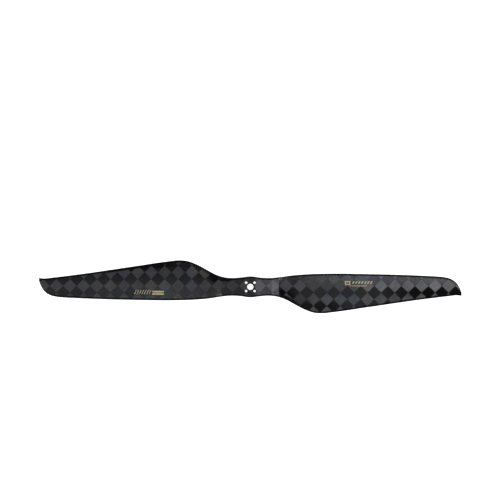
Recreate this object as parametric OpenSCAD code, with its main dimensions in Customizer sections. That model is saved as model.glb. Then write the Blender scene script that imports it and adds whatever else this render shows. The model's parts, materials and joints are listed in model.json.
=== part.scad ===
// Two-blade fixed-pitch propeller for a multirotor, moulded in carbon fibre.
// Frame: +X along the right blade, +Y towards that blade's leading edge, +Z up
// (the way it pushes). The origin is the bore's centre on the hub's underside.
// The propeller turns from +X towards +Y, counter-clockwise seen from above.

/* [Blades] */
// Tip-to-tip diameter
diameter = 533.4; // [525:0.1:560]
// Distance moved forward in one turn
pitch = 160; // [130:1:180]
// Radius that softens the pitch near the hub
root_washout = 50; // [40:1:70]
// Distance from the hub axis at which the twist starts, with a crease
twist_start = 36; // [34:1:40]
// Distance from the hub axis at which the twist is complete
twist_end = 58; // [54:1:70]
// Height the blades rise above the hub's middle
blade_rise = 5.6; // [5.4:0.1:9]
// Camber of the blade sections, as a share of the chord
camber = 0.035; // [0:0.005:0.05]
// How far the leading edge rakes back at the tip, in per cent of the radius
tip_rake = 8.1; // [5:0.1:8.5]

/* [Hub] */
// Thickness over both hub doublers
hub_height = 8; // [7:0.1:12]
// Radius of the hub's long edges
hub_edge_r = 2.4; // [1.5:0.1:2.4]
// Half length of the flat part of the hub
hub_flat = 26; // [20:1:28]
// Radius at which the hub section has become a blade section
root_end = 62; // [58:1:70]
// Half length of the solid hub core and of the hub doublers
hub_core_reach = 36; // [32:1:38]

/* [Mounting holes] */
// Diameter of the centre bore
bore_d = 8; // [5:0.1:9]
// Diameter of the circle of mounting holes
bolt_circle_d = 15; // [14:0.5:16]
// Diameter of each mounting hole, for an M3 screw
bolt_hole_d = 3.1; // [3:0.1:3.4]
// Number of mounting holes
bolt_count = 4; // [2:2:4]

/* [Laminate] */
// Thickness of one ply of carbon cloth
ply = 0.12; // [0.1:0.01:0.18]
// Thickness of each hub doubler
doubler = 0.25; // [0.2:0.05:0.4]
// Thickness of each spar cap along its middle
spar_cap = 0.5; // [0.3:0.05:0.6]
// Width of each spar cap
spar_width = 12; // [8:1:14]
// Radius where the spar caps and foam end and the tip filler starts
spar_reach = 240; // [230:1:245]
// Width of the bead that seals the edge between the two skins
edge_bead_w = 1.2; // [0.9:0.1:1.4]
// Thickness of a blade at its sealed edges
edge_t = 0.8; // [0.7:0.05:1.2]

/* [Blade marks] */
// Thickness of the printed marks
mark_t = 0.05; // [0.03:0.01:0.1]
// Height of the boxes
mark_h = 5; // [4:0.1:6]
// Width of the lines and gaps
mark_line = 0.9; // [0.5:0.1:1.2]
// Number of slanting strokes on each blade
stroke_count = 7; // [5:1:8]

/* [Hidden] */
$fn = 96;

tip_r = diameter / 2;
skin = 2 * ply;
hub_body = hub_height - 2 * doubler;
hub_mid = hub_height / 2;
cut = 1;

// Blade outline. Each entry is the distance from the hub axis and the distance
// from the pitch line, both in per cent of the tip radius.
leading = [[0, 5], [4.5, 4.45], [9, 4.23], [13.5, 4.6], [19.5, 5.45], [28, 6.1],
    [37.5, 6.33], [56, 6.12], [75, 5.62], [88, 5.05], [100, 4.55]];
trailing = [[0, 5], [4.5, 4.5], [9.5, 4.25], [13.5, 4.85], [17, 6.15], [21.5, 8.6],
    [26, 10.9], [30, 12.3], [34, 12.6], [39.5, 12.03], [56, 9.62], [84, 5.6],
    [94, 4.4], [97.5, 4.05], [100, 4.25]];
// Where the tip's rake starts, and the two powers of its curve
rake_start = 75;
rake_power = 8;
rake_round = 0.74;

// Thickness of the airfoil between the sealed edges, in millimetres, against
// the distance from the hub axis in per cent of the tip radius
thickness = [[0, 6.7], [12, 6.6], [19, 5], [28, 3.6], [41, 2.8], [60, 2.2],
    [79, 1.6], [94, 1], [100, 0.4]];

// Stations along the right blade at which the sections are drawn
root_stations = [6, 12, 18, hub_flat, 31, hub_core_reach, 39, 42, 46, 51, 57, 64, 73, 85];
blade_stations = [100, 120, 140, 160, 180, 200, 220, spar_reach];
tip_stations = [0.938, 0.963, 0.98, 0.991, 0.9975, 1] * tip_r;
outer_stations = concat(root_stations, blade_stations, tip_stations);
stations = concat(
    [for (i = [len(outer_stations) - 1:-1:0]) -outer_stations[i]],
    [0],
    outer_stations);

// Lines across a section, numbered from the +Y edge to the -Y edge
last_line = 14;
bead_line = 2;
roving_line = 3;
spar_line = 6;

// --- curves ---------------------------------------------------------------

function part_way(a, b, x) = min(1, max(0, (x - a) / (b - a)));
function smooth(a, b, x) = let (t = part_way(a, b, x)) t * t * (3 - 2 * t);
function ease_out(a, b, x) = let (t = part_way(a, b, x)) t * (2 - t);

function chord_slope(p, i) = (p[i + 1][1] - p[i][1]) / (p[i + 1][0] - p[i][0]);

// Slope of the curve through the points at point i, level at the first one
function slope(p, i) =
    i == 0 ? 0 :
    i == len(p) - 1 ? chord_slope(p, i - 1) :
    let (a = p[i][0] - p[i - 1][0], b = p[i + 1][0] - p[i][0])
        (b * chord_slope(p, i - 1) + a * chord_slope(p, i)) / (a + b);

function segment(p, x, i = 0) = i == len(p) - 2 || x < p[i + 1][0] ? i : segment(p, x, i + 1);

// Smooth curve through a list of [x, y] points
function curve(p, x) =
    let (i = segment(p, x), w = p[i + 1][0] - p[i][0], t = (x - p[i][0]) / w)
    (2 * t ^ 3 - 3 * t ^ 2 + 1) * p[i][1] + (t ^ 3 - 2 * t ^ 2 + t) * w * slope(p, i)
    + (3 * t ^ 2 - 2 * t ^ 3) * p[i + 1][1] + (t ^ 3 - t ^ 2) * w * slope(p, i + 1);

// --- one section of a blade, at distance r from the hub axis -----------------

function rake(r) =
    let (u = max(0, (100 * r / tip_r - rake_start) / (100 - rake_start)))
    tip_rake * (1 - (1 - min(1, u) ^ rake_power) ^ rake_round);
function lead(r) = (curve(leading, 100 * r / tip_r) - rake(r)) * tip_r / 100;
function trail(r) = curve(trailing, 100 * r / tip_r) * tip_r / 100;
function chord(r) = lead(r) + trail(r);

// 1 on the hub, 0 on the blade
function hubness(r) = 1 - smooth(hub_flat, root_end, r);
function twist_slope(r) =
    ease_out(twist_start, twist_end, r) * pitch / (2 * PI * sqrt(r ^ 2 + root_washout ^ 2));
function axis_height(r) = hub_mid + blade_rise * smooth(hub_flat, root_end + 4, r);

// Distance of a section's lines behind its leading edge
function spar_front(r) = lead(r) - min(spar_width / 2, lead(r) - 0.3 * chord(r));
function spar_back(r) = lead(r) - max(-spar_width / 2, 0.3 * chord(r) - trail(r));
function line_at(r, j) =
    let (c = chord(r), bead = min(edge_bead_w, c / 6), third = max(0.11 * c, bead * 1.5))
    j == 0 ? 0 :
    j == 1 ? bead / 4 :
    j == bead_line ? bead :
    j < spar_line ? third + (spar_front(r) - third) * (j - 3) / 3 :
    j == spar_line ? spar_front(r) :
    j == 7 ? (spar_front(r) + spar_back(r)) / 2 :
    j == 8 ? spar_back(r) :
    j < 12 ? spar_back(r) + (c - third - spar_back(r)) * (j - 8) / 3 :
    j == 12 ? c - bead :
    j == 13 ? c - bead / 4 : c;

// Height of a quarter round of radius q, at distance e inside the edge
function quarter_round(q, e) = e >= q ? q : sqrt(q ^ 2 - (q - max(0, e)) ^ 2);

// Half thickness of the hub section and of the airfoil section
function hub_half(e) = e <= 0 ? 0 : hub_body / 2 - hub_edge_r + quarter_round(hub_edge_r, e);
function airfoil(s) = 2.969 * sqrt(s) - 1.26 * s - 3.516 * s ^ 2 + 2.843 * s ^ 3 - 1.036 * s ^ 4;
function blade_half(r, a) =
    let (c = chord(r), e = min(a, c - a))
    curve(thickness, 100 * r / tip_r) / 2 * airfoil(min(1, max(0, a / c)))
    + quarter_round(edge_t / 2, e);
function half(r, a) =
    let (w = hubness(r))
    w * hub_half(min(a, chord(r) - a)) + (1 - w) * blade_half(r, a);

function middle(r, a) =
    let (s = a / chord(r))
    axis_height(r) + twist_slope(r) * (lead(r) - a)
    + (1 - hubness(r)) * camber * chord(r) * 4 * s * (1 - s);

// A point at station x on line k, on the upper (side 1) or lower (side -1)
// surface, at the given depth below it
function surface_point(x, k, side, depth) =
    let (r = abs(x), j = x < 0 ? last_line - k : k, a = line_at(r, j),
        on_edge = j == 0 || j == last_line)
    [x, (x < 0 ? -1 : 1) * (lead(r) - a),
        middle(r, a) + (on_edge ? 0 : side * (half(r, a) - depth))];

// --- solids ---------------------------------------------------------------

// Do the top and the bottom of a section meet in one point here?
function meet(top, bottom) = top[0] == 0 || top[0] == last_line || top == bottom;

// Solid through the sections between x0 and x1. top and bottom are the outline
// of the section as [line, side, depth] entries, both from +Y to -Y on the same
// lines. They may meet in a point at either end.
module loft(x0, x1, top, bottom) {
    xs = [for (x = stations) if (x >= x0 && x <= x1) x];
    n = len(top);
    shut = [for (i = [0:n - 1]) meet(top[i], bottom[i])];
    outline = concat(top, [for (i = [0:n - 1]) if (!shut[i]) bottom[i]]);
    m = len(outline);
    // Place of each bottom entry in the outline
    under = [for (i = [0:n - 1]) shut[i] ? i : n + i - (shut[0] ? 1 : 0)];
    ring = concat([for (i = [0:n - 1]) i], [for (i = [n - 1:-1:0]) if (!shut[i]) under[i]]);
    points = [for (x = xs, p = outline) surface_point(x, p[0], p[1], p[2])];
    walls = [for (i = [0:len(xs) - 2], j = [0:m - 1])
        let (p = ring[j], q = ring[(j + 1) % m],
            a = i * m + p, b = a + m, c = i * m + q, d = c + m)
        each outline[q][0] > outline[p][0] ? [[a, b, d], [a, d, c]] : [[a, b, c], [b, d, c]]];
    cap = [for (i = [0:n - 2])
        each [
            if (!shut[i + 1]) [i, i + 1, under[i + 1]],
            if (!shut[i]) [i, shut[i + 1] ? i + 1 : under[i + 1], under[i]]]];
    far_cap = [for (t = cap) [for (v = [2:-1:0]) t[v] + (len(xs) - 1) * m]];
    polyhedron(points, concat(walls, cap, far_cap), convexity = 8);
}

function level(k0, k1, side, depth) = [for (k = [k0:k1]) [k, side, depth]];

// The inside of a skin, with a groove for the spar cap
function grooved(k0, k1, side) =
    [for (k = [k0:k1]) [k, side, skin + (k == spar_line + 1 ? spar_cap : 0)]];

// A layer between two depths on one side of the propeller
module layer(x0, x1, side, outer, inner) {
    front = bead_line;
    back = last_line - bead_line;
    if (side > 0)
        loft(x0, x1, level(front, back, 1, outer), level(front, back, 1, inner));
    else
        loft(x0, x1, level(front, back, -1, inner), level(front, back, -1, outer));
}

module mounting_holes() {
    translate([0, 0, -cut]) {
        cylinder(d = bore_d, h = hub_height + 2 * cut);
        for (i = [0:bolt_count - 1])
            rotate(45 + i * 360 / bolt_count)
                translate([bolt_circle_d / 2, 0, 0])
                    cylinder(d = bolt_hole_d, h = hub_height + 2 * cut);
    }
}

module drilled() {
    difference() {
        children();
        mounting_holes();
    }
}

module cloth(side, outer, inner) {
    drilled()
        layer(-tip_r, tip_r, side, outer, inner);
}

module hub_patch(side) {
    drilled()
        layer(-hub_core_reach, hub_core_reach, side, -doubler, 0);
}

// A strip of straight tow under a skin, thickest along its middle
module spar(side) {
    flat = level(spar_line, last_line - spar_line, side, skin);
    ridged = grooved(spar_line, last_line - spar_line, side);
    drilled()
        loft(-spar_reach, spar_reach, side > 0 ? flat : ridged, side > 0 ? ridged : flat);
}

// A solid between the skins of the right blade (hand 1) or the left blade
// (hand -1), between two radii and two lines counted from the leading edge
module blade_part(hand, r0, r1, k0, k1, groove = false) {
    a = hand > 0 ? k0 : last_line - k1;
    b = hand > 0 ? k1 : last_line - k0;
    x0 = min(hand * r0, hand * r1);
    x1 = max(hand * r0, hand * r1);
    if (groove)
        loft(x0, x1, grooved(a, b, 1), grooved(a, b, -1));
    else
        loft(x0, x1, level(a, b, 1, skin), level(a, b, -1, skin));
}

module blade_core(hand) {
    blade_part(hand, hub_core_reach, spar_reach, roving_line, last_line - roving_line, true);
}

module leading_edge_roving(hand) {
    blade_part(hand, hub_core_reach, spar_reach, bead_line, roving_line);
}

module trailing_edge_strip(hand) {
    blade_part(hand, hub_core_reach, spar_reach, last_line - roving_line,
        last_line - bead_line);
}

module tip_filler(hand) {
    blade_part(hand, spar_reach, tip_r, bead_line, last_line - bead_line);
}

// Flat shapes laid on the top of a blade, between two radii
module printed(x0, x1) {
    intersection() {
        layer(x0, x1, 1, -mark_t, 0);
        linear_extrude(4 * hub_height)
            children();
    }
}

module bar(x0, x1, y, h) {
    translate([x0, y - h / 2])
        square([x1 - x0, h]);
}

// A row of strokes of height h and width w that lean to the right
module strokes(x0, x1, y, h, w) {
    lean = 0.4 * h;
    step = (x1 - x0 - lean - w) / (stroke_count - 1);
    for (i = [0:stroke_count - 1])
        translate([x0 + i * step, y - h / 2])
            polygon([[0, 0], [w, 0], [w + lean, h], [lean, h]]);
}

// --- pieces ---------------------------------------------------------------

module upper_cover_ply() { color("#36373b") cloth(1, 0, ply); }
module lower_cover_ply() { color("#303135") cloth(-1, 0, ply); }
module upper_inner_ply() { color("#26272a") cloth(1, ply, skin); }
module lower_inner_ply() { color("#222326") cloth(-1, ply, skin); }

module edge_bead() {
    color("#0c0c0d") {
        for (k = [0, last_line - bead_line])
            loft(-tip_r, tip_r, level(k, k + bead_line, 1, 0), level(k, k + bead_line, -1, 0));
    }
}

module hub_core() {
    color("#1b1b1d")
        drilled()
            loft(-hub_core_reach, hub_core_reach,
                grooved(bead_line, last_line - bead_line, 1),
                grooved(bead_line, last_line - bead_line, -1));
}

module upper_hub_doubler() { color("#46474b") hub_patch(1); }
module lower_hub_doubler() { color("#3f4044") hub_patch(-1); }
module upper_spar_cap() { color("#2c2c30") spar(1); }
module lower_spar_cap() { color("#28282c") spar(-1); }
module right_blade_core() { color("#e8e2d0") blade_core(1); }
module left_blade_core() { color("#e8e2d0") blade_core(-1); }
module right_leading_edge_roving() { color("#1f2022") leading_edge_roving(1); }
module left_leading_edge_roving() { color("#1f2022") leading_edge_roving(-1); }
module right_trailing_edge_strip() { color("#242527") trailing_edge_strip(1); }
module left_trailing_edge_strip() { color("#242527") trailing_edge_strip(-1); }
module right_tip_filler() { color("#3a3428") tip_filler(1); }
module left_tip_filler() { color("#3a3428") tip_filler(-1); }

// A box, a row of slanting strokes and a thin line under them
module right_blade_mark() {
    color("#b9a36a")
        printed(100, 160) {
            bar(119, 126, 5, mark_h);
            strokes(128, 154, 5.6, 3.4, 1.9);
            bar(125, 147, 1.4, mark_line);
        }
}

// A row of fine slanting strokes and a box with a slot
module left_blade_mark() {
    color("#b9a36a")
        printed(-160, -100) {
            strokes(-146, -125, -6.4, 5, mark_line);
            bar(-123.4, -108.8, -7.3 + (mark_h + mark_line) / 4, (mark_h - mark_line) / 2);
            bar(-123.4, -108.8, -7.3 - (mark_h + mark_line) / 4, (mark_h - mark_line) / 2);
        }
}

upper_cover_ply();
lower_cover_ply();
upper_inner_ply();
lower_inner_ply();
edge_bead();
hub_core();
upper_hub_doubler();
lower_hub_doubler();
upper_spar_cap();
lower_spar_cap();
right_blade_core();
left_blade_core();
right_leading_edge_roving();
left_leading_edge_roving();
right_trailing_edge_strip();
left_trailing_edge_strip();
right_tip_filler();
left_tip_filler();
right_blade_mark();
left_blade_mark();
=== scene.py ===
"""Looks of a two-blade carbon-fibre propeller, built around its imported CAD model.

Every piece is a smooth, finely divided version of its CAD node, drawn from the same
section formulas. Metres throughout. +X is the right blade, +Y its leading edge, +Z up.
"""
import json
import math

import bmesh
import bpy
import numpy as np
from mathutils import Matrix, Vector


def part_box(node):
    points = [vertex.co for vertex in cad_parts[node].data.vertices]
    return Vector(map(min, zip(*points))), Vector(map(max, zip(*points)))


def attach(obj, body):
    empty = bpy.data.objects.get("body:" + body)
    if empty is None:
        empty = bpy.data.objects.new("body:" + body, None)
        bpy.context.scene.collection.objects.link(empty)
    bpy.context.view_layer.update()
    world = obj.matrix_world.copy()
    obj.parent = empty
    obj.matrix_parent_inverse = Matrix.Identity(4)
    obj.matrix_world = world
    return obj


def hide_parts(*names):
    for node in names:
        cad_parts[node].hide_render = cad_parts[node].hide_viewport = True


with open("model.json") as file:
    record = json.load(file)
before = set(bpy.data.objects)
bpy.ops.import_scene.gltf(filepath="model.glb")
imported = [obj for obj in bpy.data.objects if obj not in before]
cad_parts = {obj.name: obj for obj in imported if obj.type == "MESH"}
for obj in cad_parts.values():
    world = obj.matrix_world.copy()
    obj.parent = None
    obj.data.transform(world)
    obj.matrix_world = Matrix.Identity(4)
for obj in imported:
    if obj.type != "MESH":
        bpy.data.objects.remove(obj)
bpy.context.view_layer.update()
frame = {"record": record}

MM = 0.001

# --- sizes read from the frame -------------------------------------------------------

mounts = {mount["name"]: mount for mount in frame["record"]["mounts"]}
TIP_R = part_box("edge_bead")[1].x
HUB_HEIGHT = mounts["clamp_face"]["pos_m"][2] - mounts["motor_face"]["pos_m"][2]
BORE_R = mounts["centre_bore"]["dims"]["r_mm"] * MM
SCREW_R = mounts["motor_screws"]["dims"]["hole_r_mm"] * MM
SCREW_CIRCLE_R = mounts["motor_screws"]["dims"]["pcd_mm"] * MM / 2
SCREW_COUNT = mounts["motor_screws"]["dims"]["count"]
HUB_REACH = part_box("hub_core")[1].x
SPAR_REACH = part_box("upper_spar_cap")[1].x
SPAR_HALF_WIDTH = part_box("upper_spar_cap")[1].y

# --- the blade's driving dimensions, the same as in the CAD source -------------------

PITCH = 160 * MM
ROOT_WASHOUT = 50 * MM
TWIST_START = 36 * MM
TWIST_END = 58 * MM
BLADE_RISE = 5.6 * MM
CAMBER = 0.035
TIP_RAKE = 8.1
RAKE_START = 75
RAKE_POWER = 8
RAKE_ROUND = 0.74
HUB_EDGE_R = 2.4 * MM
HUB_FLAT = 26 * MM
ROOT_END = 62 * MM
PLY = 0.12 * MM
SKIN = 2 * PLY
DOUBLER = 0.25 * MM
SPAR_CAP = 0.5 * MM
EDGE_BEAD_W = 1.2 * MM
EDGE_T = 0.8 * MM
MARK_T = 0.05 * MM
MARK_H = 5 * MM
MARK_LINE = 0.9 * MM
STROKE_COUNT = 7

# Distance from the hub axis and distance from the pitch line, in per cent of the tip radius
LEADING = [(0, 5), (4.5, 4.45), (9, 4.23), (13.5, 4.6), (19.5, 5.45), (28, 6.1),
           (37.5, 6.33), (56, 6.12), (75, 5.62), (88, 5.05), (100, 4.55)]
TRAILING = [(0, 5), (4.5, 4.5), (9.5, 4.25), (13.5, 4.85), (17, 6.15), (21.5, 8.6),
            (26, 10.9), (30, 12.3), (34, 12.6), (39.5, 12.03), (56, 9.62), (84, 5.6),
            (94, 4.4), (97.5, 4.05), (100, 4.25)]
# Distance from the hub axis in per cent, and the airfoil's thickness in millimetres
THICKNESS = [(0, 6.7), (12, 6.6), (19, 5), (28, 3.6), (41, 2.8), (60, 2.2),
             (79, 1.6), (94, 1), (100, 0.4)]

# Numbered lines run along the blade, from 0 at the leading edge to LAST_LINE at the
# trailing edge. The edge bead, the roving and the spar cap each end at a line.
LAST_LINE = 14
BEAD_LINE = 2
ROVING_LINE = 3
SPAR_LINE = 6

# --- section formulas ----------------------------------------------------------------


def part_way(a, b, x):
    return np.clip((x - a) / (b - a), 0, 1)


def smooth(a, b, x):
    t = part_way(a, b, x)
    return t * t * (3 - 2 * t)


def ease_out(a, b, x):
    t = part_way(a, b, x)
    return t * (2 - t)


def curve(points, x):
    """Smooth curve through (x, y) points, level at the first one."""
    px, py = np.array(points, float).T
    gap = np.diff(px)
    chord = np.diff(py) / gap
    inner = (gap[1:] * chord[:-1] + gap[:-1] * chord[1:]) / (gap[1:] + gap[:-1])
    slope = np.concatenate([[0], inner, chord[-1:]])
    i = np.clip(np.searchsorted(px, x, side="right") - 1, 0, len(gap) - 1)
    t = (x - px[i]) / gap[i]
    return ((2 * t**3 - 3 * t**2 + 1) * py[i] + (t**3 - 2 * t**2 + t) * gap[i] * slope[i]
            + (3 * t**2 - 2 * t**3) * py[i + 1] + (t**3 - t**2) * gap[i] * slope[i + 1])


def per_cent(r):
    return 100 * r / TIP_R


def rake(r):
    u = np.clip((per_cent(r) - RAKE_START) / (100 - RAKE_START), 0, 1)
    return TIP_RAKE * (1 - (1 - u**RAKE_POWER) ** RAKE_ROUND)


def lead(r):
    return (curve(LEADING, per_cent(r)) - rake(r)) * TIP_R / 100


def trail(r):
    return curve(TRAILING, per_cent(r)) * TIP_R / 100


def hubness(r):
    """1 on the hub, 0 on the blade."""
    return 1 - smooth(HUB_FLAT, ROOT_END, r)


def twist_slope(r):
    return ease_out(TWIST_START, TWIST_END, r) * PITCH / (2 * math.pi * np.hypot(r, ROOT_WASHOUT))


def axis_height(r):
    return HUB_HEIGHT / 2 + BLADE_RISE * smooth(HUB_FLAT, ROOT_END + 4 * MM, r)


def line_distance(r, line):
    """Distance of a line, which may lie between two numbered ones, behind the leading edge."""
    chord = lead(r) + trail(r)
    bead = np.minimum(EDGE_BEAD_W, chord / 6)
    third = np.maximum(0.11 * chord, 1.5 * bead)
    front = lead(r) - np.minimum(SPAR_HALF_WIDTH, lead(r) - 0.3 * chord)
    back = lead(r) - np.maximum(-SPAR_HALF_WIDTH, 0.3 * chord - trail(r))
    whole = [0 * r, bead / 4, bead]
    whole += [third + (front - third) * share / 3 for share in range(3)]
    whole += [front, (front + back) / 2]
    whole += [back + (chord - third - back) * share / 3 for share in range(4)]
    whole += [chord - bead, chord - bead / 4, chord]
    low = np.clip(np.floor(line).astype(int), 0, LAST_LINE - 1)
    part = line - low
    part = np.where(low == 0, part**2, part)
    part = np.where(low == LAST_LINE - 1, 1 - (1 - part) ** 2, part)
    whole = np.stack(whole)
    at = np.arange(len(r))
    return whole[low, at] * (1 - part) + whole[low + 1, at] * part


def quarter_round(q, e):
    """Height of a rounded edge of radius q at the distance e from it."""
    return np.where(e >= q, q, np.sqrt(np.maximum(0, q**2 - (q - np.clip(e, 0, q)) ** 2)))


def airfoil(s):
    """Thickness of a classic airfoil at the share s of the chord, about 1 at its thickest."""
    return 2.969 * np.sqrt(s) - 1.26 * s - 3.516 * s**2 + 2.843 * s**3 - 1.036 * s**4


def half_thickness(r, a):
    chord = lead(r) + trail(r)
    edge = np.minimum(a, chord - a)
    hub = (HUB_HEIGHT - 2 * DOUBLER) / 2 - HUB_EDGE_R + quarter_round(HUB_EDGE_R, edge)
    hub = np.where(edge <= 0, 0, hub)
    blade = (curve(THICKNESS, per_cent(r)) * MM / 2 * airfoil(np.clip(a / chord, 0, 1))
             + quarter_round(EDGE_T / 2, edge))
    return hubness(r) * hub + (1 - hubness(r)) * blade


def middle_height(r, a):
    chord = lead(r) + trail(r)
    s = a / chord
    return (axis_height(r) + twist_slope(r) * (lead(r) - a)
            + (1 - hubness(r)) * CAMBER * chord * 4 * s * (1 - s))


def surface(xs, lines, side, depth):
    """Grid of points, station by line, on the upper (1) or lower (-1) side below its surface."""
    depth = np.broadcast_to(depth, len(lines))
    rows = []
    for line, below in zip(lines, depth):
        r = np.abs(xs)
        from_lead = np.where(xs < 0, LAST_LINE - line, line)
        a = line_distance(r, from_lead)
        on_edge = line in (0, LAST_LINE)
        z = middle_height(r, a) + (0 if on_edge else side * (half_thickness(r, a) - below))
        rows.append(np.stack([xs, np.where(xs < 0, -1, 1) * (lead(r) - a), z], axis=-1))
    return np.stack(rows, axis=1)


def height_over(x, y, depth):
    """Height of the upper side at points of the plan, less the depth."""
    r = np.abs(x)
    a = lead(r) - y * np.where(x < 0, -1, 1)
    return middle_height(r, a) + half_thickness(r, a) - depth


# --- meshes --------------------------------------------------------------------------

# Stations are close together near the hub, wider along the blade and closest at the tip
ROOT_STEP = 1.25 * MM
ROOT_ZONE = 80 * MM
BLADE_STEP = 2.5 * MM
TIP_ZONE = 26.7 * MM
TIP_STEPS = 26
# Parts into which the strip after each numbered line is divided
STRIP_PARTS = [4, 3, 4, 3, 3, 2, 2, 2, 2, 3, 3, 4, 3, 4]


def all_stations():
    root = np.arange(0, ROOT_ZONE, ROOT_STEP)
    blade = np.arange(ROOT_ZONE, TIP_R - TIP_ZONE - BLADE_STEP / 2, BLADE_STEP)
    tip = TIP_R - TIP_ZONE * (1 - np.arange(TIP_STEPS + 1) / TIP_STEPS) ** 2
    key = [HUB_FLAT, HUB_REACH, TWIST_END, ROOT_END, SPAR_REACH]
    right = np.unique(np.round(np.concatenate([root, blade, tip, key]), 6))
    close = np.diff(right) < 0.02 * MM
    right = np.concatenate([right[:-1][~close], right[-1:]])
    return np.concatenate([-right[:0:-1], right])


STATIONS = all_stations()


def stations(x0, x1):
    within = (STATIONS > x0 + MM / 10) & (STATIONS < x1 - MM / 10)
    return np.concatenate([[x0], STATIONS[within], [x1]])


def lines_between(first, last):
    lines = [line + part / STRIP_PARTS[line]
             for line in range(first, last) for part in range(STRIP_PARTS[line])]
    return np.array(lines + [last], float)


class Mesh:
    """Vertices and faces gathered from closed solids."""

    def __init__(self):
        self.points = []
        self.faces = []

    def add(self, points, faces):
        start = len(self.points)
        self.points += [tuple(p) for p in points]
        self.faces += [tuple(start + i for i in face) for face in faces]

    def add_solid(self, top, bottom):
        """Closed solid between two grids on the same lines, which may meet along either side."""
        stations_count, lines_count = top.shape[:2]
        shut = [np.allclose(top[:, side], bottom[:, side], atol=1e-9) for side in (0, -1)]
        under = bottom[:, ::-1][:, int(shut[1]):lines_count - int(shut[0])]
        ring = np.concatenate([top, under], axis=1)
        count = ring.shape[1]
        walls = [(s * count + i, s * count + (i + 1) % count,
                  (s + 1) * count + (i + 1) % count, (s + 1) * count + i)
                 for s in range(stations_count - 1) for i in range(count)]
        below = [2 * lines_count - 1 - i - int(shut[1]) for i in range(lines_count)]
        below[0] = 0 if shut[0] else below[0]
        below[-1] = lines_count - 1 if shut[1] else below[-1]
        caps = []
        for i in range(lines_count - 1):
            corners = [i, below[i], below[i + 1], i + 1]
            corners = list(dict.fromkeys(corners))
            caps.append(corners)
            caps.append([(stations_count - 1) * count + c for c in reversed(corners)])
        self.add(ring.reshape(-1, 3), walls + caps)

    def build(self, name):
        data = bpy.data.meshes.new(name)
        data.from_pydata(self.points, [], self.faces)
        clean = bmesh.new()
        clean.from_mesh(data)
        bmesh.ops.recalc_face_normals(clean, faces=clean.faces)
        clean.to_mesh(data)
        clean.free()
        piece = bpy.data.objects.new(name, data)
        bpy.context.scene.collection.objects.link(piece)
        return piece


def depths(lines, grooved):
    """Depth of the inside of a skin, with a groove for the spar cap if there is one."""
    share = np.clip(1 - np.abs(lines - SPAR_LINE - 1), 0, 1) if grooved else 0 * lines
    return SKIN + SPAR_CAP * share


def layer(mesh, x0, x1, side, outer, inner):
    lines = lines_between(BEAD_LINE, LAST_LINE - BEAD_LINE)
    xs = stations(x0, x1)
    out, inside = (surface(xs, lines, side, depth) for depth in (outer, inner))
    mesh.add_solid(*((out, inside) if side > 0 else (inside, out)))


def filling(mesh, x0, x1, first, last, grooved=False):
    """Solid between the two skins, from one line to another."""
    lines = lines_between(first, last)
    xs = stations(x0, x1)
    depth = depths(lines, grooved)
    mesh.add_solid(surface(xs, lines, 1, depth), surface(xs, lines, -1, depth))


def blade_filling(hand, r0, r1, first, last, grooved=False):
    mesh = Mesh()
    if hand < 0:
        first, last = LAST_LINE - last, LAST_LINE - first
    filling(mesh, min(hand * r0, hand * r1), max(hand * r0, hand * r1), first, last, grooved)
    return mesh


def skin_layer(side, outer, inner, reach):
    mesh = Mesh()
    layer(mesh, -reach, reach, side, outer, inner)
    return mesh


def spar_cap(side):
    mesh = Mesh()
    lines = lines_between(SPAR_LINE, LAST_LINE - SPAR_LINE)
    xs = stations(-SPAR_REACH, SPAR_REACH)
    out = surface(xs, lines, side, SKIN)
    inside = surface(xs, lines, side, depths(lines, True))
    mesh.add_solid(*((out, inside) if side > 0 else (inside, out)))
    return mesh


def edge_beads():
    mesh = Mesh()
    for first in (0, LAST_LINE - BEAD_LINE):
        lines = lines_between(first, first + BEAD_LINE)
        xs = stations(-TIP_R, TIP_R)
        mesh.add_solid(surface(xs, lines, 1, 0), surface(xs, lines, -1, 0))
    return mesh


PRINT_STEP = 0.4 * MM
STROKE_LEAN = 0.4


def add_print(mesh, x0, x1, y, height, lean=0.0):
    """Thin print on the upper side: a bar, or a stroke that leans by so much to the right."""
    across = max(2, int((x1 - x0) / PRINT_STEP))
    up = max(2, int(height / PRINT_STEP))
    s, t = np.meshgrid(np.linspace(0, 1, across + 1), np.linspace(1, 0, up + 1), indexing="ij")
    x = x0 + (x1 - x0) * s + lean * t
    py = y - height / 2 + height * t
    top, bottom = (np.stack([x, py, height_over(x, py, depth)], axis=-1)
                   for depth in (-MARK_T, MARK_T))
    mesh.add_solid(top, bottom)


def add_strokes(mesh, x0, x1, y, height, width):
    """A row of slanted strokes, in place of lettering."""
    lean = STROKE_LEAN * height
    step = (x1 - x0 - lean - width) / (STROKE_COUNT - 1)
    for i in range(STROKE_COUNT):
        add_print(mesh, x0 + i * step, x0 + i * step + width, y, height, lean)


def add_frame(mesh, x0, x1, y, height, width):
    """A hollow box, as two upright and two level bars that meet edge to edge."""
    for left in (x0, x1 - width):
        add_print(mesh, left, left + width, y, height)
    for way in (-1, 1):
        add_print(mesh, x0 + width, x1 - width, y + way * (height - width) / 2, width)


def right_mark():
    low, high = (corner.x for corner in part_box("right_blade_mark"))
    mesh = Mesh()
    add_frame(mesh, low, low + 7 * MM, 5 * MM, MARK_H, 1.5 * MM)
    add_strokes(mesh, low + 9 * MM, high, 5.6 * MM, 3.4 * MM, 1.9 * MM)
    add_print(mesh, low + 6 * MM, high - 7 * MM, 1.4 * MM, MARK_LINE)
    return mesh


def left_mark():
    low, high = (corner.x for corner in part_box("left_blade_mark"))
    mesh = Mesh()
    add_strokes(mesh, low, low + 21 * MM, -6.4 * MM, 5 * MM, MARK_LINE)
    for way in (-1, 1):
        add_print(mesh, high - 14.6 * MM, high, -7.3 * MM + way * (MARK_H + MARK_LINE) / 4,
                  (MARK_H - MARK_LINE) / 2)
    return mesh


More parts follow.
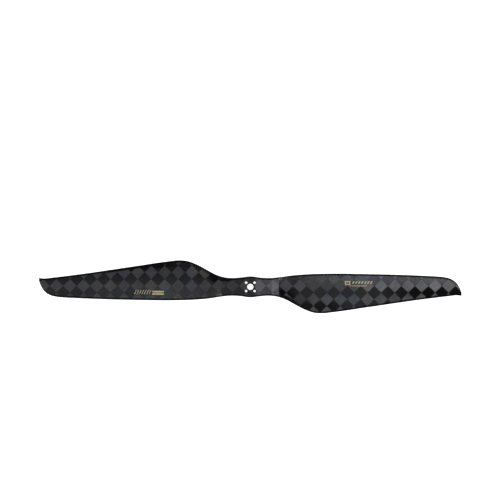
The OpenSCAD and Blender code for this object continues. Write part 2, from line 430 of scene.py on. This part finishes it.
CUTTER_OVERRUN = 2 * MM
HOLE_CHAMFER = 0.05 * MM
BORE_SIDES = 96
SCREW_SIDES = 48


def hole_cutter():
    """The bore and the screw holes as one cutter, chamfered where they leave the hub."""
    mesh = Mesh()
    places = [(0, 0, BORE_R, BORE_SIDES)]
    for i in range(SCREW_COUNT):
        angle = math.pi / 4 + 2 * math.pi * i / SCREW_COUNT
        places.append((SCREW_CIRCLE_R * math.cos(angle), SCREW_CIRCLE_R * math.sin(angle),
                       SCREW_R, SCREW_SIDES))
    for x, y, radius, count in places:
        wide = radius + HOLE_CHAMFER
        profile = [(wide, -CUTTER_OVERRUN), (wide, 0), (radius, HOLE_CHAMFER),
                   (radius, HUB_HEIGHT - HOLE_CHAMFER), (wide, HUB_HEIGHT),
                   (wide, HUB_HEIGHT + CUTTER_OVERRUN)]
        turns = [2 * math.pi * i / count for i in range(count)]
        points = [(x + r * math.cos(t), y + r * math.sin(t), z) for r, z in profile for t in turns]
        faces = [(k * count + i, k * count + (i + 1) % count,
                  (k + 1) * count + (i + 1) % count, (k + 1) * count + i)
                 for k in range(len(profile) - 1) for i in range(count)]
        faces += [tuple(reversed(range(count))),
                  tuple((len(profile) - 1) * count + i for i in range(count))]
        mesh.add(points, faces)
    return mesh.build("hole_cutter")


def drill(piece, cutter):
    cut = piece.modifiers.new("holes", "BOOLEAN")
    cut.operation = "DIFFERENCE"
    cut.solver = "EXACT"
    cut.object = cutter
    evaluated = piece.evaluated_get(bpy.context.evaluated_depsgraph_get())
    drilled = bpy.data.meshes.new_from_object(evaluated)
    piece.modifiers.clear()
    uncut = piece.data
    piece.data = drilled
    bpy.data.meshes.remove(uncut)


# --- materials -----------------------------------------------------------------------


class Shader:
    """A node material, with short calls for the nodes that the finishes here need."""

    def __init__(self, name):
        self.material = bpy.data.materials.new(name)
        self.material.use_nodes = True
        self.tree = self.material.node_tree
        self.surface = self.tree.nodes["Principled BSDF"]
        place = self.tree.nodes.new("ShaderNodeTexCoord").outputs["Object"]
        split = self.tree.nodes.new("ShaderNodeSeparateXYZ")
        self.tree.links.new(place, split.inputs[0])
        self.place = place
        self.x, self.y, self.z = split.outputs

    def put(self, socket, value):
        if isinstance(value, bpy.types.NodeSocket):
            self.tree.links.new(value, socket)
        else:
            socket.default_value = value

    def set(self, **values):
        """Sets the shader's sockets, with _ for a space in a socket's name."""
        for name, value in values.items():
            self.put(self.surface.inputs[name.replace("_", " ")], value)

    def attribute(self, name):
        node = self.tree.nodes.new("ShaderNodeAttribute")
        node.attribute_name = name
        return node.outputs["Fac"]

    def math(self, operation, *values):
        node = self.tree.nodes.new("ShaderNodeMath")
        node.operation = operation
        for socket, value in zip(node.inputs, values):
            self.put(socket, value)
        return node.outputs[0]

    def add(self, a, b):
        return self.math("ADD", a, b)

    def times(self, *values):
        result = values[0]
        for value in values[1:]:
            result = self.math("MULTIPLY", result, value)
        return result

    def step(self, value, low, high, start=0.0, end=1.0):
        """Goes smoothly from start to end as the value goes from low to high."""
        node = self.tree.nodes.new("ShaderNodeMapRange")
        node.interpolation_type = "SMOOTHSTEP"
        for socket, number in zip(node.inputs, (value, low, high, start, end)):
            self.put(socket, number)
        return node.outputs[0]

    def vector(self, x, y, z=0.0):
        node = self.tree.nodes.new("ShaderNodeCombineXYZ")
        for socket, value in zip(node.inputs, (x, y, z)):
            self.put(socket, value)
        return node.outputs[0]

    def noise(self, vector, scale, detail=2.0, roughness=0.5):
        node = self.tree.nodes.new("ShaderNodeTexNoise")
        self.put(node.inputs["Vector"], vector)
        self.put(node.inputs["Scale"], scale)
        self.put(node.inputs["Detail"], detail)
        self.put(node.inputs["Roughness"], roughness)
        return node.outputs["Fac"]

    def cell_random(self, vector):
        node = self.tree.nodes.new("ShaderNodeTexWhiteNoise")
        node.noise_dimensions = "2D"
        self.put(node.inputs["Vector"], vector)
        return node.outputs["Value"]

    def mix(self, share, low, high):
        """Mix of two colours."""
        node = self.tree.nodes.new("ShaderNodeMix")
        node.data_type = "RGBA"
        for place, value in ((0, share), (6, low), (7, high)):
            self.put(node.inputs[place], (*value, 1) if isinstance(value, tuple) else value)
        return node.outputs[2]

    def mix_values(self, share, low, high):
        node = self.tree.nodes.new("ShaderNodeMix")
        for place, value in ((0, share), (2, low), (3, high)):
            self.put(node.inputs[place], value)
        return node.outputs[0]

    def fade(self, share, factor):
        """1 where the share is 0 and the factor where it is 1."""
        return self.mix_values(share, 1.0, factor)

    def brighten(self, colour, factor):
        node = self.tree.nodes.new("ShaderNodeVectorMath")
        node.operation = "SCALE"
        self.put(node.inputs[0], colour)
        self.put(node.inputs["Scale"], factor)
        return node.outputs[0]

    def tint(self, share, colour, tint):
        """The colour, multiplied by the tint as far as the share says."""
        node = self.tree.nodes.new("ShaderNodeMix")
        node.data_type = "RGBA"
        node.blend_type = "MULTIPLY"
        node.clamp_result = False
        for place, value in ((0, share), (6, colour), (7, (*tint, 1))):
            self.put(node.inputs[place], value)
        return node.outputs[2]

    def bump(self, height, distance, strength=1.0):
        node = self.tree.nodes.new("ShaderNodeBump")
        self.put(node.inputs["Height"], height)
        self.put(node.inputs["Distance"], distance)
        self.put(node.inputs["Strength"], strength)
        self.put(self.surface.inputs["Normal"], node.outputs[0])


SQUARE_DIAGONAL = 17.05 * MM
SQUARE_ORIGIN_X = -5.7 * MM
SQUARE_ORIGIN_Y = 1.4 * MM
SQUARE_WAVE = 0.5 * MM
TOW_GAP = 0.024
# The squares are real crossing tows of one and the same carbon; their bright and dark colours are
# painted reflection, standing in for the way each tow direction catches the light
PAINTED_BRIGHT_TOW = (0.050, 0.050, 0.053)
PAINTED_DARK_TOW = (0.022, 0.022, 0.024)
# Each tint of the clear resin, with the shift that gives it patches of its own
TINTS = [(0.3, (0.96, 0.93, 1.13)), (0.7, (0.93, 1.03, 1.04))]


def cloth_cells(m):
    """Place among the cloth's squares along both tows, its row and column, and the top tow."""
    wave = m.times(m.add(m.noise(m.place, 60.0), -0.5), SQUARE_WAVE)
    dx = m.add(m.add(m.x, -SQUARE_ORIGIN_X), wave)
    dy = m.add(m.add(m.y, -SQUARE_ORIGIN_Y), wave)
    along = m.add(m.math("DIVIDE", m.add(dx, dy), SQUARE_DIAGONAL), 0.5)
    across = m.add(m.math("DIVIDE", m.math("SUBTRACT", dy, dx), SQUARE_DIAGONAL), 0.5)
    row, column = m.math("FLOOR", along), m.math("FLOOR", across)
    odd = m.math("FLOORED_MODULO", m.add(row, column), 2.0)
    return along, across, row, column, odd


def cloth(name, painted_light_and_shade):
    """Spread-tow carbon cloth under clear resin.

    The function passed as the second argument gives the brightness of the light squares and that of
    the dark ones, by place: painted highlights and painted shade.
    """
    m = Shader(name)
    along, across, row, column, odd = cloth_cells(m)
    # Filaments run one way in the light squares and the other way in the dark ones
    strands = []
    for run, spread in ((along, across), (across, along)):
        coarse = m.noise(m.vector(m.times(run, 1.2), m.times(spread, 9.0)), 1.0, 3.0, 0.6)
        fine = m.noise(m.vector(m.times(run, 2.5), m.times(spread, 60.0)), 1.0, 2.0, 0.6)
        strands.append(m.mix_values(0.4, coarse, fine))
    strand = m.mix_values(odd, *strands)
    # Narrow dark gaps between the tows, where gap is 0
    gaps = []
    for value in (along, across):
        nearest = m.math("PINGPONG", value, 0.5)
        gaps.append(m.step(nearest, 0.0, TOW_GAP))
    gap = m.times(*gaps)
    # Painted reflection: the light squares take the bright tow colour, the dark squares the dark
    # one
    colour = m.mix(odd, PAINTED_BRIGHT_TOW, PAINTED_DARK_TOW)
    # Painted highlights and painted shade by place, one factor for each kind of square
    light_square_painted_shading, dark_square_painted_shading = painted_light_and_shade(m)
    shade = m.mix_values(odd, light_square_painted_shading, dark_square_painted_shading)
    each = m.step(m.cell_random(m.vector(row, column)), 0.0, 1.0, 0.88, 1.12)
    fibre = m.step(strand, 0.34, 0.66, 0.72, 1.28)
    cloudy = m.step(m.noise(m.place, 25.0), 0.3, 0.7, 0.92, 1.08)
    shade = m.times(m.times(shade, each), m.times(fibre, cloudy))
    shade = m.times(shade, m.mix_values(gap, 0.6, 1.0))
    # The cloth darkens where it meets the edge bead
    edge = m.math("MINIMUM", m.attribute("from_leading"), m.attribute("from_trailing"))
    shade = m.times(shade, m.step(edge, 1.6 * EDGE_BEAD_W, 2.2 * EDGE_BEAD_W, 0.08, 1.0))
    # The clear resin gives faint blue, violet and green tints around the middle of a blade
    radius = m.math("ABSOLUTE", m.x)
    middle = m.times(m.step(radius, 50 * MM, 85 * MM, 0.25, 1.0),
                     m.step(radius, 160 * MM, 190 * MM, 1.0, 0.25))
    for shift, tint in TINTS:
        shifted = m.vector(m.add(m.x, shift), m.y)
        tinted = m.step(m.noise(shifted, 38.0, 1.0), 0.48, 0.66)
        colour = m.tint(m.times(tinted, middle), colour, tint)
    m.set(Base_Color=m.brighten(colour, shade))
    m.set(Roughness=m.step(strand, 0.2, 0.8, 0.50, 0.38), Specular_IOR_Level=0.15)
    m.set(Coat_Weight=m.step(m.noise(m.place, 120.0), 0.2, 0.8, 0.45, 0.6), Coat_Roughness=0.10)
    m.bump(m.add(gap, m.times(strand, 0.35)), 0.03 * MM, 0.6)
    return m.material


def blade_painted_light_and_shade(m):
    """Painted highlights and painted shade on the light and dark squares of both blades, by place
    in millimetres.

    Painted highlights brighten the light squares towards the right blade's leading edge. Painted
    shade turns the dark squares black on its outer half and at its root, and along the left blade's
    trailing edge. A painted shadow darkens both kinds of square next to the trailing edge at each
    root.
    """
    def rise(value, low, high):
        return m.step(value, low * MM, high * MM)

    def fall(value, low, high):
        return m.step(value, low * MM, high * MM, 1.0, 0.0)

    behind, radius = m.attribute("from_trailing"), m.math("ABSOLUTE", m.x)
    # Painted highlights and painted shade on the light squares
    right_blade = rise(m.x, 36, 40)
    outer_leading = m.times(rise(m.x, 130, 150), rise(m.y, -10, -3))
    right_root = m.times(fall(m.x, 55, 100), fall(m.y, -14, -4), right_blade)
    # Painted shadow along the trailing edge next to both roots
    root_shadow = m.times(fall(radius, 45, 75), fall(behind, 4, 5.5))
    left_trailing = m.mix_values(rise(m.y, 8, 15), 1.0, m.step(m.x, -100 * MM, -55 * MM, 0.8, 1.15))
    # Painted shade along the left blade's trailing edge
    left_rim = m.times(rise(radius, 75, 100), fall(radius, 175, 200), fall(behind, 2.5, 4.5))
    left_light = m.times(m.step(m.x, -250 * MM, -190 * MM, 0.95, 1.1), left_trailing,
                         m.fade(left_rim, 0.08))
    right_trailing = m.times(rise(m.x, 65, 80), fall(m.y, -14, -8))
    right_light = m.times(m.fade(outer_leading, 2.4), m.fade(right_trailing, 1.28))
    light = m.times(m.mix_values(right_blade, left_light, m.times(right_light, 1.2)),
                    m.fade(right_root, 0.6), m.fade(root_shadow, 0.05))
    # Painted shade on the dark squares, with a painted dark spot just past each root and painted
    # highlights along the leading edges
    root_painted_dark_spot = m.times(rise(radius, 34, 37), fall(radius, 46, 62), fall(behind, 9, 13))
    left_leading = m.times(rise(m.x, -142, -128), fall(m.x, -65, -50), fall(m.y, -2, 3))
    left_band = m.times(rise(radius, 82, 112), fall(radius, 155, 172), fall(behind, 6, 9))
    left_dark = m.times(m.step(m.y, -10 * MM, 28 * MM, 1.2, 0.4),
                        m.step(m.x, -250 * MM, -150 * MM, 0.72, 1.05),
                        m.fade(left_band, 0.1), m.fade(left_leading, 1.4))
    leading = m.times(rise(m.y, -2, 7), rise(m.x, 40, 120))
    outer = m.times(rise(m.x, 150, 215), fall(m.y, -2, 3))
    root = m.times(fall(m.x, 46, 72), fall(m.y, -4, 0))
    trailing = m.times(fall(m.x, 95, 135), fall(m.y, -24, -14))
    right_dark = m.times(m.fade(leading, 4.0), m.fade(outer, 0.03), m.fade(root, 0.2),
                         m.fade(trailing, 0.3))
    dark = m.mix_values(right_blade, left_dark, right_dark)
    return light, m.times(dark, m.fade(root_painted_dark_spot, 0.02), m.fade(root_shadow, 0.03))


def hub_painted_highlight_and_shadow(m):
    """Painted highlight on the hub's patch: its right half is brighter, most of all next to its
    end. A painted shadow darkens it along its trailing edges, widest towards the left root.
    """
    right = m.step(m.x, 5.5 * MM, 7.5 * MM)
    end = m.step(m.x, 26 * MM, 28 * MM)
    reach = m.step(m.x, -34 * MM, -12 * MM, 5.5 * MM, 1.5 * MM)
    behind = m.add(m.attribute("from_trailing"), m.times(reach, -1.0))
    shadow = m.step(behind, -1 * MM, 0.5 * MM, 1.0, 0.0)
    light = m.times(m.fade(right, 2.4), m.fade(end, 1.4), m.fade(shadow, 0.03))
    dark = m.times(m.mix_values(right, 1.2, 3.0), m.fade(end, 1.6), m.fade(shadow, 0.03))
    return light, dark


def dark_resin(name, colour, rough, grain):
    """Dark moulded resin with a faint mottle and fine surface ripple."""
    m = Shader(name)
    mottle = m.noise(m.place, grain, 4.0, 0.6)
    lighter = tuple(1.6 * c for c in colour)
    m.set(Base_Color=m.mix(mottle, colour, lighter))
    m.set(Roughness=m.step(mottle, 0.3, 0.7, rough, rough + 0.12), Specular_IOR_Level=0.15)
    m.bump(mottle, 0.02 * MM, 0.4)
    return m.material


def straight_tow():
    """Straight carbon strands along the blade."""
    m = Shader("straight_tow")
    along, across, through = m.times(m.x, 12.0), m.times(m.y, 900.0), m.times(m.z, 900.0)
    strand = m.noise(m.vector(along, across, through), 3.0, 3.0)
    m.set(Base_Color=m.mix(strand, (0.012, 0.012, 0.014), (0.05, 0.05, 0.055)))
    m.set(Roughness=m.step(strand, 0.2, 0.8, 0.55, 0.4))
    m.bump(strand, 0.02 * MM, 0.5)
    return m.material


def laminate(name):
    """Stacked plies, seen as fine level bands where a bore cuts them."""
    m = Shader(name)
    bands = m.math("PINGPONG", m.add(m.times(m.z, 1 / PLY), m.noise(m.place, 300.0)), 1.0)
    m.set(Base_Color=m.mix(bands, (0.010, 0.010, 0.011), (0.035, 0.035, 0.038)))
    m.set(Roughness=m.step(bands, 0.0, 1.0, 0.9, 0.75), Specular_IOR_Level=0.1)
    m.bump(bands, 0.01 * MM, 0.5)
    return m.material


def foam():
    """Cream-coloured rigid foam with fine cells."""
    m = Shader("core_foam")
    cells = m.noise(m.place, 1600.0, 3.0, 0.6)
    m.set(Base_Color=m.mix(cells, (0.70, 0.63, 0.50), (0.86, 0.81, 0.69)))
    m.set(Roughness=m.step(cells, 0.2, 0.8, 0.95, 0.8))
    m.bump(cells, 0.15 * MM, 0.8)
    return m.material


def gold_print():
    """Thin pale gold print, a little worn."""
    m = Shader("gold_print")
    wear = m.noise(m.place, 900.0, 4.0, 0.7)
    m.set(Base_Color=m.mix(m.step(wear, 0.30, 0.55), (0.22, 0.19, 0.11), (0.60, 0.53, 0.34)))
    m.set(Roughness=m.step(wear, 0.2, 0.8, 0.55, 0.35), Metallic=0.2)
    m.bump(wear, 0.01 * MM, 0.5)
    return m.material


# --- the propeller -------------------------------------------------------------------

SHARP_ANGLE = 32


def mark_edges(piece):
    """Stores on each vertex its distance from the leading and the trailing edge, in plan."""
    points = np.empty(3 * len(piece.data.vertices))
    piece.data.vertices.foreach_get("co", points)
    x, y = points.reshape(-1, 3)[:, :2].T
    r = np.minimum(np.abs(x), TIP_R)
    from_leading = lead(r) - np.where(x < 0, -1, 1) * y
    from_trailing = lead(r) + trail(r) - from_leading
    for name, values in (("from_leading", from_leading), ("from_trailing", from_trailing)):
        attribute = piece.data.attributes.new(name, "FLOAT", "POINT")
        attribute.data.foreach_set("value", values.astype(np.float32))


def dress(piece, node, material):
    piece.data.materials.clear()
    piece.data.materials.append(material)
    mark_edges(piece)
    for polygon in piece.data.polygons:
        polygon.use_smooth = True
    piece.data.set_sharp_from_angle(angle=math.radians(SHARP_ANGLE))
    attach(piece, "root")
    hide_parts(node)


# The blade cloth and the hub cloth both carry painted highlights and painted shade by place
cover = cloth("cover_cloth", blade_painted_light_and_shade)
hub_cover = cloth("hub_cloth", hub_painted_highlight_and_shadow)
inner = dark_resin("inner_laminate", (0.014, 0.014, 0.015), 0.6, 500.0)
resin = dark_resin("edge_resin", (0.0018, 0.0018, 0.0020), 0.5, 300.0)
tip_resin = dark_resin("tip_resin", (0.045, 0.039, 0.030), 0.5, 400.0)
core = laminate("hub_laminate")
tow = straight_tow()
cream_foam = foam()
gold = gold_print()

BLADE_LINES = (ROVING_LINE, LAST_LINE - ROVING_LINE)
SKIN_LINES = (BEAD_LINE, LAST_LINE - BEAD_LINE)


def hub_core():
    mesh = Mesh()
    filling(mesh, -HUB_REACH, HUB_REACH, *SKIN_LINES, grooved=True)
    return mesh


# Node, its mesh, its material, its material slot, and whether the holes pass through it
PIECES = [
    ("upper_cover_ply", skin_layer(1, 0, PLY, TIP_R), cover, "cover_cloth", True),
    ("lower_cover_ply", skin_layer(-1, 0, PLY, TIP_R), cover, "cover_cloth", True),
    ("upper_inner_ply", skin_layer(1, PLY, SKIN, TIP_R), inner, "inner_laminate", True),
    ("lower_inner_ply", skin_layer(-1, PLY, SKIN, TIP_R), inner, "inner_laminate", True),
    ("upper_hub_doubler", skin_layer(1, -DOUBLER, 0, HUB_REACH), hub_cover, "cover_cloth", True),
    ("lower_hub_doubler", skin_layer(-1, -DOUBLER, 0, HUB_REACH), hub_cover, "cover_cloth", True),
    ("edge_bead", edge_beads(), resin, "edge_resin", False),
    ("hub_core", hub_core(), core, "hub_laminate", True),
    ("upper_spar_cap", spar_cap(1), tow, "straight_tow", True),
    ("lower_spar_cap", spar_cap(-1), tow, "straight_tow", True),
    ("right_blade_mark", right_mark(), gold, "gold_print", False),
    ("left_blade_mark", left_mark(), gold, "gold_print", False),
]
for hand, name in ((1, "right"), (-1, "left")):
    PIECES += [
        (f"{name}_blade_core",
         blade_filling(hand, HUB_REACH, SPAR_REACH, *BLADE_LINES, grooved=True),
         cream_foam, "core_foam", False),
        (f"{name}_leading_edge_roving",
         blade_filling(hand, HUB_REACH, SPAR_REACH, BEAD_LINE, ROVING_LINE),
         tow, "straight_tow", False),
        (f"{name}_trailing_edge_strip",
         blade_filling(hand, HUB_REACH, SPAR_REACH, BLADE_LINES[1], SKIN_LINES[1]),
         tow, "straight_tow", False),
        (f"{name}_tip_filler",
         blade_filling(hand, SPAR_REACH, TIP_R, *SKIN_LINES),
         tip_resin, "tip_resin", False),
    ]

cutter = hole_cutter()
for node, mesh, material, slot, drilled in PIECES:
    piece = mesh.build(f"{node}_moulded")
    if drilled:
        drill(piece, cutter)
    dress(piece, node, material)
bpy.data.objects.remove(cutter)

# --- floor, light and camera ---------------------------------------------------------

FLOOR_SIZE = 24.0
# Just below the hub, so that the two faces don't lie in one plane
FLOOR_Z = -0.1 * MM
# Place, size and power of each softbox; the side ones stand left and right of the hub
SIDE_PLACE = (1.35, 0.0, 0.86)
SIDE_SIZE = (1.2, 0.35)
SIDE_POWER = 20
TOP_PLACE = (0.0, 0.3, 1.3)
TOP_SIZE = (1.0, 0.3)
TOP_POWER = 0.05


def floor_material():
    """White sheet that glows like a light table."""
    m = Shader("floor")
    grain = m.noise(m.place, 40.0, 3.0)
    m.set(Base_Color=m.mix(grain, (0.80, 0.80, 0.80), (0.84, 0.84, 0.84)), Roughness=0.9)
    m.set(Emission_Color=(1, 1, 1, 1), Emission_Strength=1.0)
    return m.material


def add_floor():
    mesh = Mesh()
    half = FLOOR_SIZE / 2
    corners = [(-half, -half), (half, -half), (half, half), (-half, half)]
    mesh.add([(x, y, FLOOR_Z) for x, y in corners], [(0, 1, 2, 3)])
    floor = mesh.build("floor")
    floor.data.materials.append(floor_material())


def add_softbox(name, place, size, power):
    """Rectangular light that faces the hub."""
    light = bpy.data.lights.new(name, "AREA")
    light.shape = "RECTANGLE"
    light.size, light.size_y = size
    light.energy = power
    box = bpy.data.objects.new(name, light)
    bpy.context.scene.collection.objects.link(box)
    box.location = place
    box.rotation_euler = (-box.location).to_track_quat("-Z", "Y").to_euler()
    box.visible_camera = False


add_floor()
for name, way in (("left", -1), ("right", 1)):
    add_softbox(f"softbox_{name}", (way * SIDE_PLACE[0], *SIDE_PLACE[1:]), SIDE_SIZE, SIDE_POWER)
add_softbox("softbox_top", TOP_PLACE, TOP_SIZE, TOP_POWER)

WORLD_OVERHEAD = 0.03
WORLD_HORIZON = 1.0
HORIZON_BAND = 0.10


def add_world():
    """A dim studio with a pale band round the horizon, behind the floor."""
    world = bpy.data.worlds.new("studio")
    world.use_nodes = True
    nodes, links = world.node_tree.nodes, world.node_tree.links
    direction = nodes.new("ShaderNodeTexCoord").outputs["Generated"]
    split = nodes.new("ShaderNodeSeparateXYZ")
    links.new(direction, split.inputs[0])
    fading = nodes.new("ShaderNodeMapRange")
    fading.interpolation_type = "SMOOTHSTEP"
    links.new(split.outputs["Z"], fading.inputs[0])
    numbers = (0.0, HORIZON_BAND, WORLD_HORIZON, WORLD_OVERHEAD)
    for socket, number in zip(fading.inputs[1:], numbers):
        socket.default_value = number
    links.new(fading.outputs[0], nodes["Background"].inputs["Strength"])
    nodes["Background"].inputs["Color"].default_value = (1, 1, 1, 1)
    bpy.context.scene.world = world


add_world()
bpy.context.scene.view_settings.view_transform = "Standard"

# The photograph looks straight down. Its middle is behind the hub, and it is 0.63 m wide.
VIEW_WIDTH = 0.6305
VIEW_CENTRE = (-0.0004, 0.0466)
BLADE_HEIGHT = 10 * MM
LENS = 135
SENSOR = 36


def add_camera():
    data = bpy.data.cameras.new("camera")
    data.lens = LENS
    data.sensor_width = SENSOR
    data.clip_start = 0.1
    data.clip_end = 50
    camera = bpy.data.objects.new("camera", data)
    bpy.context.scene.collection.objects.link(camera)
    camera.location = (*VIEW_CENTRE, BLADE_HEIGHT + VIEW_WIDTH * LENS / SENSOR)
    bpy.context.scene.camera = camera


add_camera()
